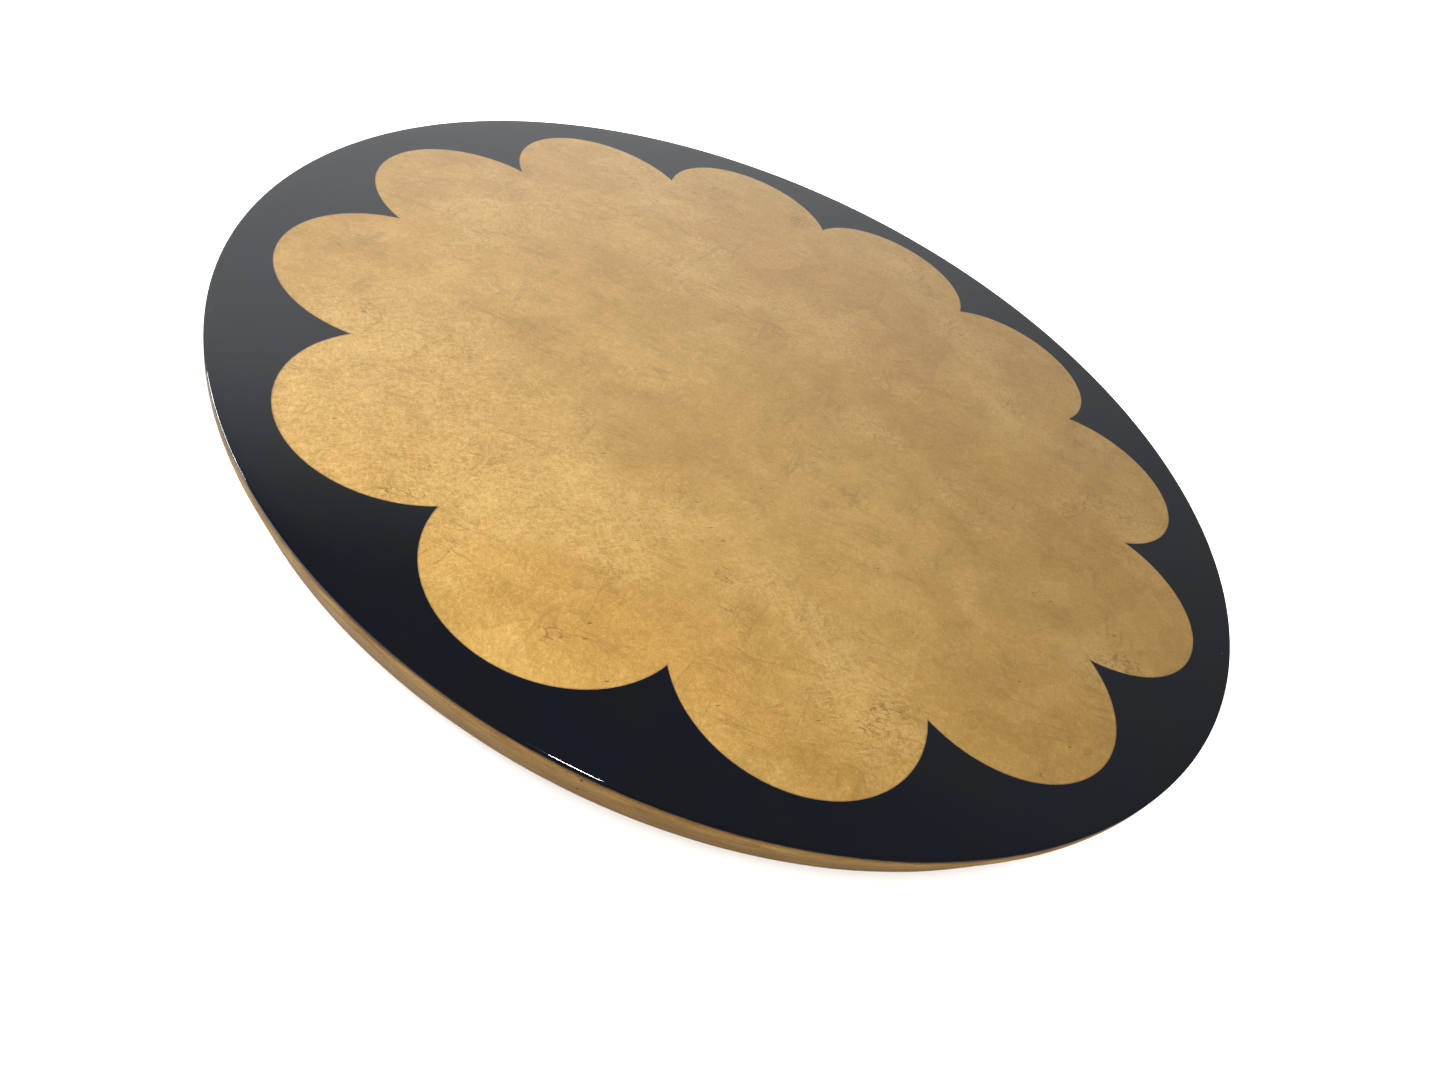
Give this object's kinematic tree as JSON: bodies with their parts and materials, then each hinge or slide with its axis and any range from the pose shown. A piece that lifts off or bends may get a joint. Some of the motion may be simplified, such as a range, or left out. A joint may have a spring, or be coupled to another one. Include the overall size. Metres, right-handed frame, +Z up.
{
  "type": "round table top",
  "caption": "Round rimless table top in black gloss lacquer, with a flush scalloped gold leaf medallion and a gilded edge that tapers inwards.",
  "frame": {"origin": "centre of the underside, on the plane the top rests on", "axes": "+Z up along the disc's axis, towards the lacquered face; +X and +Y each run through the tip of a medallion lobe"},
  "size_m": [1.2, 1.2, 0.055],
  "materials": {
    "black_lacquer": "polished black gloss lacquer",
    "gold_leaf": "gold metal leaf in squares under clear gloss lacquer",
    "bronze_gilding": "toned gilding with fine streaks along the edge, satin",
    "fibreboard": "raw medium density fibreboard",
    "black_sealer": "dark balancing sheet, matt",
    "brass": "machined"
  },
  "bodies": {
    "root": {"lacquer_ground": "black_lacquer", "leaf_medallion": "gold_leaf", "rim_gilding": "bronze_gilding", "core_panel": "fibreboard", "backing_sheet": "black_sealer", "rim_segment_1": "fibreboard", "rim_segment_2": "fibreboard", "rim_segment_3": "fibreboard", "rim_segment_4": "fibreboard", "rim_segment_5": "fibreboard", "rim_segment_6": "fibreboard", "rim_segment_7": "fibreboard", "rim_segment_8": "fibreboard", "rim_segment_9": "fibreboard", "rim_segment_10": "fibreboard", "rim_segment_11": "fibreboard", "rim_segment_12": "fibreboard", "base_insert_1": "brass", "base_insert_2": "brass", "base_insert_3": "brass", "base_insert_4": "brass", "base_insert_5": "brass", "base_insert_6": "brass", "base_insert_7": "brass", "base_insert_8": "brass"}
  },
  "joints": []
}
